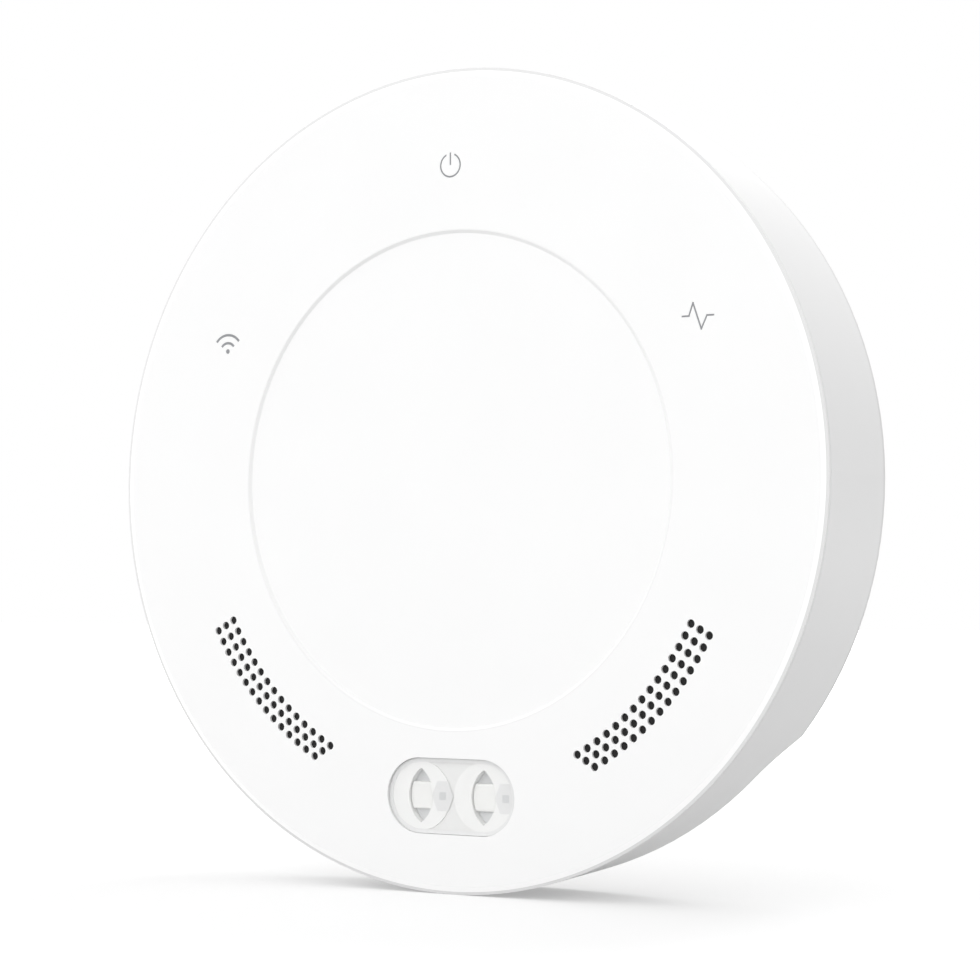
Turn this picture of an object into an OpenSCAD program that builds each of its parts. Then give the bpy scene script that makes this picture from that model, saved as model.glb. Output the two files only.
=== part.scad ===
// Garage door controller: a round hub that hangs on a wall, with an alarm lamp, three lit symbols,
// two grilles and a wiring bay that opens downwards behind its lower edge.
// Each piece is drawn lying on its back: x runs to the right, y up the wall and z from the wall to the front.
// stand() turns it upright, so the front faces -Y and the origin is the middle of the rear face.

/* [Case] */
// Diameter of the case at its front edge
body_d = 150; // [135:1:170]
// Depth from the wall to the front face
body_depth = 28; // [25:0.5:34]
// How much smaller the radius is at the wall than at the front
draft = 1.3; // [0:0.1:3]
// Thickness of the side wall
wall_t = 2.4; // [1.6:0.1:3]
// Thickness of the rear plate
rear_t = 2.4; // [1.8:0.1:3]
// Rounding of the rear edge
rear_edge_r = 1.8; // [0.4:0.1:2]
// Thickness of the front cover
cover_t = 2.2; // [1.8:0.1:3]
// Height of the cover's edge, down to the parting line
cover_rim_h = 1; // [0.8:0.1:1.7]
// Width of the slope round the front edge
edge_w = 1.4; // [0.4:0.05:2]
// Height of that slope
edge_h = 0.35; // [0.2:0.05:0.7]
// Gap at the parting line
parting_gap = 0.1; // [0.05:0.05:0.4]
// Thickness of the cover's skirt, which goes inside the side wall
skirt_t = 1.4; // [1:0.1:2]
// Height of the skirt
skirt_h = 4; // [2:0.5:6]
// Clearance between the skirt and the side wall
skirt_gap = 0.15; // [0.05:0.05:0.3]

/* [Face] */
// Distance from the edge of the case in to the circle of the symbols, the grilles and the lamp window
layout_inset = 17.6; // [15.8:0.2:19.4]
// Distance from that circle in to the edge of the dish
dish_margin = 11.9; // [10.7:0.1:22]
// Depth of the dish
dish_depth = 0.35; // [0.2:0.05:1.4]
// Width of the sloped edge of the dish
dish_bevel = 0.55; // [0.2:0.05:1]
// Thickness of the cover at a grille
grille_t = 0.5; // [0.4:0.1:1.2]
// Diameter of a grille hole
vent_d = 1.5; // [0.8:0.1:1.8]
// Spacing of the grille holes along a row
vent_pitch = 2.34; // [2:0.02:2.5]
// Holes in each row
vent_count = 15; // [7:2:15]
// Rows in each grille
vent_rows = 3; // [1:2:3]
// Angle of the middle of a grille below the horizontal
vent_angle = 44.2; // [42:0.1:47]
// Direction in which the rows are set off, below the horizontal
vent_row_angle = 30; // [20:1:45]
// Thickness of the mesh behind a grille
mesh_t = 0.4; // [0.2:0.1:0.8]
// Clearance round a mesh in the pocket behind its grille
mesh_gap = 0.2; // [0.1:0.05:0.4]

/* [Symbols] */
// Angle of the two side symbols above the horizontal
symbol_angle = 28.3; // [24:0.1:40]
// Width of the signal symbol's lines
line_w = 0.42; // [0.3:0.02:0.8]
// Width of the lines of the power and activity symbols
thin_line_w = 0.24; // [0.16:0.02:0.5]
// Clearance between a symbol and its cut-out
symbol_gap = 0.03; // [0.02:0.01:0.1]
// Radius of a light guide's base, behind the cover
guide_base_r = 4.2; // [3.8:0.1:5]
// Thickness of that base
guide_base_t = 1.2; // [0.8:0.1:2]
// Radius of a light guide's rod
guide_rod_r = 2.2; // [1.2:0.1:3]
// Gap between the rod and its indicator LED
guide_led_gap = 0.4; // [0.2:0.1:0.8]

/* [Lamp] */
// Width of the lamp window
window_w = 27.2; // [26:0.2:32]
// Height of the lamp window
window_h = 13.8; // [13.6:0.2:15]
// Clearance round the window
window_gap = 0.07; // [0.05:0.01:0.3]
// Width of the window's flange behind the cover
window_flange = 1.4; // [0.8:0.1:1.8]
// Thickness of that flange
window_flange_t = 0.8; // [0.6:0.1:1.2]
// Thickness of the window's front
window_t = 0.6; // [0.6:0.1:1.2]
// Thickness of the window's side wall
window_wall = 0.45; // [0.3:0.05:0.6]
// Clearance between a lamp cup and what is round it
cup_gap = 0.1; // [0.1:0.01:0.3]
// Width of the lens-shaped recess in a lamp cup's front
recess_w = 5.2; // [4.8:0.1:5.6]
// Height of that recess
recess_h = 10; // [9:0.1:11]
// Depth of that recess
recess_depth = 1.5; // [0.8:0.1:2]
// Thickness of the plastic behind that recess
cup_web = 1.2; // [0.8:0.1:2]
// Clearance between a lamp cup and its LED
cup_led_gap = 0.15; // [0.1:0.05:0.3]
// How far the spacer between the lamp cups stays behind their fronts
spacer_drop = 1; // [0.5:0.1:2]
// Side of a lamp LED's base
led_side = 5; // [3:0.1:6]
// Height of that base
led_h = 1; // [0.6:0.1:2]
// Radius of the LED's dome
led_dome_r = 2.2; // [1:0.1:2.4]
// How far that dome stays behind the front of its cup
led_set_back = 0.4; // [0.2:0.1:1]
// Width of the lamp board
lamp_board_w = 48; // [46:0.5:56]
// Height of the lamp board
lamp_board_h = 15; // [14:0.5:16]
// Distance of the pins that locate the lamp board from its ends
lamp_pin_inset = 3; // [2.5:0.1:3.6]
// Radius of these pins
lamp_pin_r = 1.2; // [0.8:0.1:1.5]

/* [Wiring bay] */
// Height of the bay, up from the lowest point of the case
bay_height = 28; // [25.2:0.1:30.8]
// How far above the bay's upper wall the rear starts to curve away
notch_lead = 1.9; // [0.6:0.1:2]
// Height over which it curves away
notch_run = 8; // [5:0.5:12]
// Depth of the cut-back rear edge
notch_depth = 7.8; // [6.8:0.1:8]
// Width of the bay
bay_w = 72; // [70:1:76]
// Depth of the bay from the wall
bay_floor = 14.6; // [14.4:0.1:15.4]
// Wall thickness round the bay
bay_t = 1.8; // [1.4:0.1:2.2]

/* [Terminals] */
// Spacing of the terminal blocks
block_pitch = 14; // [12:0.5:14.5]
// Place of the middle terminal block
block_x = -12; // [-13:0.5:-10]
// Width of a terminal block
block_w = 11.2; // [10.4:0.1:11.6]
// Depth of a terminal block, up from the bay
block_l = 11; // [10.4:0.1:12]
// Spacing of a block's two wire entries
pole_pitch = 5; // [4.6:0.1:5.6]
// Radius of a wire entry
wire_r = 1.2; // [0.8:0.1:1.4]
// Depth of a wire entry
wire_l = 8; // [7.4:0.1:8.6]
// Distance of the wire entries from the wall
wire_z = 5.4; // [4.6:0.1:5.5]
// Distance of the push buttons from the wall
button_z = 9.6; // [9:0.1:10]
// Side of a push button
button_w = 3.2; // [2.4:0.1:3.6]
// How far a push button stands out
button_out = 1.9; // [1.7:0.1:2.4]
// Length of a push button inside its block
button_in = 3.8; // [2.5:0.1:4]
// Travel of a push button
button_travel = 1.5; // [0.8:0.1:1.6]
// Clearance round a push button
button_gap = 0.15; // [0.1:0.05:0.25]
// Thickness of a contact strip
contact_t = 0.8; // [0.4:0.1:1]
// Width of a contact strip
contact_w = 2.8; // [2:0.1:3.2]

/* [Power and reset] */
// Place of the power socket
socket_x = 17; // [15:0.5:18]
// Width of the socket's shell
socket_w = 9; // [8:0.1:10]
// Height of the socket's shell
socket_h = 3.2; // [3:0.1:3.4]
// Length of the socket's shell
socket_l = 7.4; // [6.5:0.1:9]
// Sheet thickness of the shell
socket_t = 0.3; // [0.2:0.05:0.4]
// Thickness of the tongue inside the socket
tongue_t = 0.7; // [0.5:0.1:1]
// Place of the reset button
reset_x = 29.5; // [27:0.5:31]
// Radius of the reset button
reset_r = 1.2; // [0.8:0.1:1.4]
// How far the reset button stands out
reset_out = 0.7; // [0.5:0.1:1]
// Travel of the reset button
reset_travel = 0.4; // [0.2:0.05:0.45]
// Radial clearance of the reset button
reset_gap = 0.08; // [0.04:0.01:0.1]

/* [Wall screws] */
// Spacing of the two keyholes
keyhole_span = 60; // [50:1:64]
// Height of a keyhole's round entry above the middle
keyhole_y = 18; // [12:0.5:20]
// Radius of the round entry, for the screw head
keyhole_r = 4; // [3.5:0.1:4.5]
// Radius of the slot, for the screw's shank
keyhole_slot_r = 2.1; // [1.6:0.1:2.4]
// How far the part drops onto the screws
keyhole_drop = 8; // [6:0.5:9]
// Room behind the rear plate for a screw head
keyhole_room = 3.5; // [2.5:0.1:4]
// Wall round that room
keyhole_t = 1.4; // [1:0.1:2]

/* [Boards and screws] */
// Gap between the relays and the rear plate, which sets the main board's place
relay_room = 0.8; // [0.6:0.1:1.2]
// Thickness of the boards
board_t = 1.6; // [1.2:0.1:1.8]
// Gap between the main board and the screw posts and bay
board_gap = 0.5; // [0.3:0.1:0.8]
// Shank radius of a case screw
case_screw_r = 1.4; // [1:0.1:1.6]
// Head radius of a case screw
case_head_r = 2.6; // [2.2:0.1:2.8]
// Head height of a case screw
case_head_h = 2; // [1.4:0.1:2.4]
// Length of a case screw's shank
case_screw_l = 13; // [11:0.5:16]
// Depth of the seat of a case screw from the wall
case_seat = 4; // [3:0.1:5]
// Shank radius of a board screw
board_screw_r = 1; // [0.8:0.1:1.3]
// Head radius of a board screw
board_head_r = 2.1; // [1.8:0.1:2.6]
// Clearance of the screws in their holes
screw_gap = 0.1; // [0.05:0.01:0.2]
// Plastic round a screw hole
post_t = 1.6; // [1.2:0.1:2]

/* [Electronics] */
// Width, length and height of a relay
relay_size = [10, 20, 9.2];
// Radius of the sounder
sounder_r = 11.5; // [9:0.5:12.5]
// Gap between the sounder and the cover
sounder_gap = 1.8; // [1:0.1:3]
// Distance of the sounder from the edges of the main board
sounder_edge = 1.2; // [0.5:0.1:2]
// Width, length and height of the processor
processor_size = [14, 14, 1.4];
// Width, length and height of the memory chip
memory_size = [8, 10, 1.1];
// Width, length and thickness of the radio board
radio_size = [18, 26, 0.8];
// Height of the radio's shield
shield_h = 2.2; // [1.5:0.1:3]
// Radius of a capacitor
cap_r = 4; // [3:0.1:4.2]
// Height of a capacitor
cap_h = 8.6; // [5:0.1:9]
// Width, length and height of the inductor
inductor_size = [8, 8, 4.5];
// Width, length and height of the voltage regulator
regulator_size = [6.6, 6, 2.2];

/* [Hidden] */
$fn = 64;
// Small overlap that keeps a cut clear of the face it starts from
over = 1;

// Case
body_r = body_d / 2;
rear_r = body_r - draft;
rim_z = body_depth - cover_rim_h;
wall_top = rim_z - parting_gap;
face_z = body_depth;
cover_z = body_depth - cover_t;
layout_r = body_r - layout_inset;
dish_r = layout_r - dish_margin;
dish_back_r = dish_r + cover_t;
dish_back_z = cover_z - dish_depth;
skirt_r = outer_r(wall_top - skirt_h) - wall_t - skirt_gap;
rear_inner_r = rear_r - wall_t;
bay_top = body_r - bay_height;
notch_top = bay_top - notch_lead;
board_z = rear_t + relay_room + relay_size[2];

// Screws and their posts
case_hole_r = case_screw_r + screw_gap;
head_gap = 0.4;
seat_hole_r = case_head_r + head_gap;
post_r = seat_hole_r + post_t;
post_ring_r = rear_inner_r - post_r;
post_angles = [60, 120, 215, 325];
boss_r = case_screw_r + screw_gap + post_t;
post_top = board_z;
post_places = [for (a = post_angles) post_ring_r * [cos(a), sin(a)]];
board_r = post_ring_r - post_r - board_gap;
board_post_r = board_screw_r + screw_gap + post_t;
board_low = bay_top - bay_t - board_gap;
board_front = board_z + board_t;
board_post_inset = 6;
board_post_angles = [46.5, 133.5, 193, 347];
board_post_places = [for (a = board_post_angles) (board_r - board_post_inset) * [cos(a), sin(a)]];
board_screw_l = 5;
board_head_h = 1.4;
// Length and width of the cross in a screw head, as shares of the head's radius
cross_length = 1.4;
cross_width = 0.24;

// Room for a wall screw's head, a little wider than the entry
keyhole_room_gap = 0.6;
keyhole_room_r = keyhole_r + keyhole_room_gap;

// Bay and what faces it
bay_inner = bay_floor + bay_t;
block_xs = [for (i = [-1:1]) block_x + i * block_pitch];
block_z = rear_t + board_gap;
block_h = board_z - block_z;
opening_gap = 0.2;
funnel = 0.5;
button_xs = [for (x = block_xs) for (s = [-0.5, 0.5]) x + s * pole_pitch];
button_room = button_in + button_travel + 2 * button_gap;
contact_gap = 0.1;
contact_low = wire_z - wire_r;
socket_z = board_z - socket_h / 2;
tongue_set_back = 2;
tongue_l = socket_l - tongue_set_back;
reset_depth = 3;
reset_z = board_z - reset_depth;
reset_flange = 0.7;
reset_flange_r = reset_r + reset_flange;
reset_flange_t = 0.8;
reset_flange_gap = 0.3;
reset_step = 0.3;
reset_stem_r = reset_r - reset_step;
reset_stem_l = 2;
reset_flange_y = -bay_top + bay_t + reset_flange_gap;
reset_stem_y = reset_flange_y + reset_flange_t;
switch_y = reset_stem_y + reset_travel + 2 * reset_gap;
switch_size = [6, 4.2, 5.8];

// Face
vent_step = 2 * asin(vent_pitch / 2 / layout_r);
vent_row_step = vent_pitch * cos(30);
mesh_margin = 1.6;
mesh_end_margin = 2.2;
mesh_half_w = (vent_rows - 1) / 2 * vent_row_step + mesh_margin;
mesh_half_angle = (vent_count - 1) / 2 * vent_step + asin(mesh_end_margin / layout_r);
grille_back = face_z - grille_t;
power_at = [0, layout_r];
signal_at = layout_r * [-cos(symbol_angle), sin(symbol_angle)];
activity_at = layout_r * [cos(symbol_angle), sin(symbol_angle)];
window_at = [0, -layout_r];
power_ring_r = 2.1;
power_opening = 1.7;
power_bar = [0.2, 2.2];
signal_radii = [3.35, 1.8];
signal_half_angle = 52;
signal_drop = 1.75;
signal_dot_r = 0.2;
activity_points = [[-3, 0], [-1.75, 0], [-0.95, 2.25], [0.65, -2.3], [1.75, 0], [3, 0]];
indicator_size = [1.6, 1.6, 0.8];

// Lamp
flange_z = cover_z - window_flange_t;
lamp_front = bay_inner + board_t;
lamp_pitch = window_w - window_h;
cup_r = window_h / 2 - window_gap - window_wall - cup_gap;
cup_h = face_z - window_t - cup_gap - lamp_front;
led_stem_h = cup_h - led_set_back - led_dome_r - led_h;
lamp_xs = [-lamp_pitch / 2, lamp_pitch / 2];
lamp_pin_span = lamp_board_w - 2 * lamp_pin_inset;
lamp_pin_out = 0.8;
lamp_connector_size = [4, 8, 2];
lamp_connector_gap = 1;
lamp_connector_x = lamp_pitch / 2 + cup_r + lamp_connector_gap + lamp_connector_size[0] / 2;
ribbon_inset = 0.3;
ribbon_w = lamp_connector_size[0] - 2 * ribbon_inset;
ribbon_t = 0.3;
board_connector_size = [6, 4, 2];
board_connector_edge = 5;
board_connector_y = -board_low + board_connector_edge;

// Places on the main board
sounder_h = dish_back_z - board_front - sounder_gap;
sounder_y = -board_low + sounder_edge + sounder_r;
sounder_reach = board_r - sounder_edge - sounder_r;
sounder_at = [sqrt(sounder_reach * sounder_reach - sounder_y * sounder_y), sounder_y];
sounder_t = 1;
disc_t = 0.4;
processor_at = [-2, 8];
memory_at = [16, 8];
radio_x = -28;
radio_lift = 15.7;
radio_at = [radio_x, -board_low + radio_lift + radio_size[1] / 2];
shield_size = [15, 17];
shield_edge = 1;
relay_gap = 2;
relay_y = -bay_top + block_l + relay_gap + relay_size[1] / 2;
cap_lift = 19;
cap_pitch = 10;
cap_y = -bay_top + cap_lift;
cap_places = [[21, cap_y], [31, cap_y], [26, cap_y + cap_pitch]];
inductor_at = [36, cap_y + cap_pitch];
regulator_at = [14, -12];

// Outer radius of the case at a distance from the wall
function outer_r(z) = rear_r + draft * z / (body_depth - edge_h);

// Points on an arc, from one angle to another
function arc(middle, r, from, to, steps = 8) =
    [for (i = [0:steps]) let (a = from + (to - from) * i / steps) middle + r * [cos(a), sin(a)]];

// Where a grille hole is, on the right side
function vent_at(row, i) =
    let (a = -vent_angle + (i - (vent_count - 1) / 2) * vent_step)
    layout_r * [cos(a), sin(a)]
    + (row - (vent_rows - 1) / 2) * vent_row_step * [cos(vent_row_angle), -sin(vent_row_angle)];

// The line on which the rear bends away and levels out, moved inwards by a wall thickness
function notch_line(inset, steps = 12) =
    [for (i = [0:steps])
        let (
            t = i / steps,
            slope = notch_depth / notch_run * 90 * cos(90 * t) * PI / 180,
            length = sqrt(1 + slope * slope)
        )
        [
            -notch_top - notch_run * t + inset * slope / length,
            notch_depth * sin(90 * t) + inset / length
        ]];

module stand() {
    rotate([90, 0, 0]) children();
}

// Turns a shape drawn on the floor so that its height runs up the wall
module up_wall() {
    rotate([-90, 0, 0]) children();
}

module at_places(places) {
    for (p = places) translate(p) children();
}

module stadium(w, h) {
    square([w - h, h], center = true);
    for (s = [-1, 1]) translate([s * (w - h) / 2, 0]) circle(d = h);
}

module slab(size, at, z) {
    translate([at[0] - size[0] / 2, at[1] - size[1] / 2, z]) cube(size);
}

// The shape that two overlapping circles share
module lens_outline(w, h) {
    r = (w * w + h * h) / (4 * w);
    intersection() {
        translate([r - w / 2, 0]) circle(r);
        translate([w / 2 - r, 0]) circle(r);
    }
}

// One straight line of a symbol, with square ends
module line(from, to, w) {
    run = to - from;
    translate(from) rotate(atan2(run[1], run[0])) translate([-w / 2, -w / 2]) square([norm(run) + w, w]);
}

module arc_line(r, w, half_angle) {
    reach = 2 * r;
    intersection() {
        difference() {
            circle(r + w / 2);
            circle(r - w / 2);
        }
        polygon([[0, 0], reach * [sin(half_angle), cos(half_angle)], [0, reach],
            reach * [-sin(half_angle), cos(half_angle)]]);
    }
}

module power_lines(w) {
    difference() {
        circle(power_ring_r + w / 2);
        circle(power_ring_r - w / 2);
        translate([-power_opening / 2, 0]) square([power_opening, 2 * power_ring_r]);
    }
    line([0, power_bar[0]], [0, power_bar[1]], w);
}

module signal_lines(w) {
    translate([0, -signal_drop]) {
        for (r = signal_radii) arc_line(r, w, signal_half_angle);
        translate([0, signal_dot_r]) circle(signal_dot_r + w / 2);
    }
}

module activity_lines(w) {
    for (i = [0:len(activity_points) - 2]) line(activity_points[i], activity_points[i + 1], w);
}

// The cut-back lower edge and the deep bay behind it, grown by a wall thickness
module bay(inset) {
    reach = body_d;
    rotate([90, 0, 90]) linear_extrude(2 * reach, center = true)
        polygon(concat([[-notch_top, -over]], notch_line(inset),
            [[-reach, notch_depth + inset], [-reach, -over]]));
    intersection() {
        translate([-bay_w / 2 - inset, -reach, -over])
            cube([bay_w + 2 * inset, reach - bay_top + inset, bay_floor + inset + over]);
        cylinder(r = rear_inner_r + inset, h = body_depth);
    }
}

module front_cover_body() {
    rotate_extrude($fn = 180) polygon([
        [0, face_z - dish_depth], [dish_r - dish_bevel, face_z - dish_depth], [dish_r, face_z],
        [body_r - edge_w, face_z], [body_r, face_z - edge_h],
        [outer_r(rim_z), rim_z], [skirt_r, rim_z], [skirt_r, wall_top - skirt_h],
        [skirt_r - skirt_t, wall_top - skirt_h], [skirt_r - skirt_t, cover_z],
        [dish_back_r, cover_z], [dish_back_r, dish_back_z], [0, dish_back_z]
    ]);
}

// The outline of a mesh, grown by a gap
module mesh_outline(gap) {
    reach = 2 * layout_r;
    half_angle = mesh_half_angle + asin(gap / layout_r);
    intersection() {
        difference() {
            circle(layout_r + mesh_half_w + gap, $fn = 180);
            circle(layout_r - mesh_half_w - gap, $fn = 180);
        }
        polygon(concat([[0, 0]], arc([0, 0], reach, -vent_angle - half_angle, -vent_angle + half_angle, 4)));
    }
}

module front_cover() {
    color("white") stand() difference() {
        union() {
            front_cover_body();
            at_places(post_places) translate([0, 0, post_top])
                cylinder(r = boss_r, h = cover_z - post_top + cover_t / 2);
        }
        at_places(post_places) translate([0, 0, post_top - over])
            cylinder(r = case_hole_r, h = case_seat + case_screw_l - post_top + 2 * over);
        translate(window_at) translate([0, 0, cover_z - over])
            linear_extrude(cover_t + 2 * over) stadium(window_w, window_h);
        for (side = [0, 1]) mirror([side, 0, 0]) {
            translate([0, 0, cover_z - over]) linear_extrude(grille_back - cover_z + over)
                mesh_outline(mesh_gap);
            for (row = [0:vent_rows - 1], i = [0:vent_count - 1])
                translate([0, 0, cover_z]) translate(vent_at(row, i))
                    cylinder(d = vent_d, h = cover_t + over, $fn = 24);
        }
        translate([0, 0, cover_z - over]) linear_extrude(cover_t + 2 * over) {
            translate(power_at) power_lines(thin_line_w + 2 * symbol_gap);
            translate(signal_at) signal_lines(line_w + 2 * symbol_gap);
            translate(activity_at) activity_lines(thin_line_w + 2 * symbol_gap);
        }
    }
}

// A clear cap, open at its back, with a flange behind the cover
module lens_window() {
    outer = [window_w - 2 * window_gap, window_h - 2 * window_gap];
    color("aliceblue", 0.5) stand() translate(window_at) translate([0, 0, flange_z]) difference() {
        union() {
            linear_extrude(window_flange_t)
                stadium(window_w + 2 * window_flange, window_h + 2 * window_flange);
            linear_extrude(face_z - flange_z) stadium(outer[0], outer[1]);
        }
        translate([0, 0, -over]) linear_extrude(face_z - window_t - flange_z + over)
            stadium(outer[0] - 2 * window_wall, outer[1] - 2 * window_wall);
    }
}

// A milky cup over an LED, with a recess in its front through which the LED's dome comes
module lamp_cup(x) {
    base_r = led_side / sqrt(2) + cup_led_gap;
    recess_z = cup_h - recess_depth;
    color("whitesmoke") stand() translate(window_at) translate([x, 0, lamp_front]) difference() {
        cylinder(r = cup_r, h = cup_h);
        translate([0, 0, -over]) cylinder(r = base_r, h = recess_z - cup_web + over);
        cylinder(r = led_dome_r + cup_led_gap, h = cup_h);
        translate([0, 0, recess_z]) linear_extrude(recess_depth + over) lens_outline(recess_w, recess_h);
    }
}

// A white bridge on the lamp board that closes the space between the cups
module lamp_spacer() {
    color("whitesmoke") stand() translate(window_at) translate([0, 0, lamp_front])
        linear_extrude(cup_h - spacer_drop) difference() {
            square([lamp_pitch, 2 * cup_r], center = true);
            for (x = lamp_xs) translate([x, 0]) circle(cup_r + cup_gap);
        }
}

module lamp_led(x) {
    color("lightyellow") stand() translate(window_at) translate([x, 0, lamp_front]) {
        slab([led_side, led_side, led_h], [0, 0], 0);
        translate([0, 0, led_h]) cylinder(r = led_dome_r, h = led_stem_h);
        translate([0, 0, led_h + led_stem_h]) intersection() {
            sphere(r = led_dome_r);
            slab([led_side, led_side, led_dome_r], [0, 0], 0);
        }
    }
}

module lamp_board() {
    color("whitesmoke") stand() translate(window_at) translate([0, 0, bay_inner])
        linear_extrude(board_t) difference() {
            square([lamp_board_w, lamp_board_h], center = true);
            for (s = [-1, 1]) translate([s * lamp_pin_span / 2, 0]) circle(lamp_pin_r + screw_gap);
        }
}

module lamp_connector() {
    color("ivory") stand() slab(lamp_connector_size, window_at + [lamp_connector_x, 0], lamp_front);
}

// A flat ribbon, which drops from the lamp board's height to the main board's
module lamp_ribbon() {
    low = -layout_r + lamp_connector_size[1] / 2;
    high = board_connector_y - board_connector_size[1] / 2;
    from = lamp_front + lamp_connector_size[2] / 2;
    to = board_front + board_connector_size[2] / 2;
    path = [[low, from], [-bay_top, from], [-board_low + over, to], [high, to]];
    color("tan") stand() translate([lamp_connector_x, 0, 0]) rotate([90, 0, 90])
        linear_extrude(ribbon_w, center = true)
            polygon(concat(path, [for (i = [3:-1:0]) path[i] + [0, ribbon_t]]));
}

module board_connector() {
    color("ivory") stand()
        slab(board_connector_size, [lamp_connector_x, board_connector_y], board_front);
}

// A clear guide that carries the light of an LED to a symbol in the face
module light_guide(at) {
    rod_z = board_front + indicator_size[2] + guide_led_gap;
    color("silver") stand() translate(at) {
        translate([0, 0, rod_z]) cylinder(r = guide_rod_r, h = cover_z - rod_z);
        translate([0, 0, cover_z - guide_base_t]) cylinder(r = guide_base_r, h = guide_base_t);
        translate([0, 0, cover_z - guide_base_t]) linear_extrude(cover_t + guide_base_t) children();
    }
}

module power_symbol() {
    light_guide(power_at) power_lines(thin_line_w);
}

module signal_symbol() {
    light_guide(signal_at) signal_lines(line_w);
}

module activity_symbol() {
    light_guide(activity_at) activity_lines(thin_line_w);
}

module indicator_leds() {
    color("lightyellow") stand()
        for (p = [power_at, signal_at, activity_at]) slab(indicator_size, p, board_front);
}

module vent_mesh(side) {
    color("black") stand() mirror([side, 0, 0]) translate([0, 0, grille_back - mesh_t])
        linear_extrude(mesh_t) mesh_outline(0);
}

module sounder_case() {
    ledge = sounder_h / 2;
    color("dimgray") stand() translate(sounder_at) translate([0, 0, board_front]) difference() {
        cylinder(r = sounder_r, h = sounder_h);
        translate([0, 0, -over]) cylinder(r = sounder_r - sounder_t, h = ledge + over);
        cylinder(r = sounder_r - 2 * sounder_t, h = sounder_h - sounder_t);
        cylinder(r = 2 * sounder_t, h = sounder_h + over);
    }
}

module sounder_disc() {
    color("goldenrod") stand() translate(sounder_at)
        translate([0, 0, board_front + sounder_h / 2 - disc_t])
            cylinder(r = sounder_r - sounder_t - contact_gap, h = disc_t);
}

module rear_housing_shell() {
    difference() {
        rotate_extrude($fn = 180) polygon(concat(
            [[0, 0]],
            arc([rear_r - rear_edge_r, rear_edge_r], rear_edge_r, -90, 0),
            [[outer_r(wall_top), wall_top], [0, wall_top]]));
        difference() {
            rotate_extrude($fn = 180) polygon([
                [0, rear_t], [outer_r(rear_t) - wall_t, rear_t],
                [outer_r(wall_top) - wall_t, wall_top], [outer_r(wall_top) - wall_t, wall_top + over],
                [0, wall_top + over]
            ]);
            bay(bay_t);
        }
    }
}

// A keyhole's outline, from its round entry up to the end of the slot
module keyhole_outline(r) {
    circle(r);
    translate([-r, 0]) square([2 * r, keyhole_drop]);
    translate([0, keyhole_drop]) circle(r);
}

module at_keyholes() {
    for (s = [-1, 1]) translate([s * keyhole_span / 2, keyhole_y, 0]) children();
}

module rear_housing() {
    color("white") stand() difference() {
        union() {
            rear_housing_shell();
            at_places(post_places) translate([0, 0, rear_t / 2])
                cylinder(r = post_r, h = post_top - rear_t / 2);
            at_places(board_post_places) translate([0, 0, rear_t / 2])
                cylinder(r = board_post_r, h = board_z - rear_t / 2);
            at_keyholes() translate([0, 0, rear_t / 2])
                linear_extrude(rear_t / 2 + keyhole_room + keyhole_t)
                    keyhole_outline(keyhole_room_r + keyhole_t);
            for (s = [-1, 1])
                translate(window_at) translate([s * lamp_pin_span / 2, 0, bay_inner - bay_t / 2])
                    cylinder(r = lamp_pin_r, h = bay_t / 2 + board_t + lamp_pin_out);
        }
        bay(0);
        at_places(post_places) {
            translate([0, 0, -over]) cylinder(r = seat_hole_r, h = case_seat + over);
            cylinder(r = case_hole_r, h = post_top + over);
        }
        at_places(board_post_places) translate([0, 0, board_z - board_screw_l])
            cylinder(r = board_screw_r + screw_gap, h = board_screw_l + over);
        at_keyholes() {
            translate([0, 0, -over]) cylinder(r = keyhole_r, h = rear_t + 2 * over);
            translate([0, 0, -over]) linear_extrude(rear_t + 2 * over) keyhole_outline(keyhole_slot_r);
            translate([0, 0, rear_t]) linear_extrude(keyhole_room) keyhole_outline(keyhole_room_r);
        }
        for (x = block_xs) bay_opening(x, block_w, block_z, board_z);
        bay_opening(socket_x, socket_w, socket_z - socket_h / 2, board_z);
        translate([reset_x, -bay_top - over, reset_z]) up_wall()
            cylinder(r = reset_r + reset_gap, h = bay_t + 2 * over);
    }
}

// A rectangular opening in the bay's upper wall
module bay_opening(x, w, low, high) {
    translate([x - w / 2 - opening_gap, -bay_top - over, low - opening_gap])
        cube([w + 2 * opening_gap, bay_t + 2 * over, high - low + 2 * opening_gap]);
}

module case_screws() {
    color("silver") stand() at_places(post_places) {
        translate([0, 0, case_seat]) cylinder(r = case_screw_r, h = case_screw_l);
        translate([0, 0, case_seat - case_head_h]) difference() {
            cylinder(r = case_head_r, h = case_head_h);
            cross_slot(case_head_r, case_head_h / 2);
        }
    }
}

// The cross in a screw head
module cross_slot(r, depth) {
    length = cross_length * r;
    width = cross_width * r;
    for (a = [0, 90]) rotate(a)
        translate([-length / 2, -width / 2, -over]) cube([length, width, depth + over]);
}

module main_board() {
    color("seagreen") stand() translate([0, 0, board_z]) linear_extrude(board_t) difference() {
        intersection() {
            circle(board_r, $fn = 180);
            translate([-board_r, -board_low]) square([2 * board_r, board_low + board_r]);
        }
        at_places(board_post_places) circle(board_screw_r + screw_gap);
    }
}

module board_screws() {
    color("silver") stand() at_places(board_post_places) {
        translate([0, 0, board_front - board_screw_l]) cylinder(r = board_screw_r, h = board_screw_l);
        translate([0, 0, board_front + board_head_h]) mirror([0, 0, 1]) difference() {
            cylinder(r = board_head_r, h = board_head_h);
            cross_slot(board_head_r, board_head_h / 2);
        }
    }
}

module processor() {
    color("black") stand() slab(processor_size, processor_at, board_front);
}

module memory_chip() {
    color("black") stand() slab(memory_size, memory_at, board_front);
}

module radio_board() {
    color("darkgreen") stand() slab(radio_size, radio_at, board_front);
}

module radio_shield() {
    color("silver") stand() slab([shield_size[0], shield_size[1], shield_h],
        radio_at + [0, (shield_size[1] - radio_size[1]) / 2 + shield_edge], board_front + radio_size[2]);
}

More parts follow.
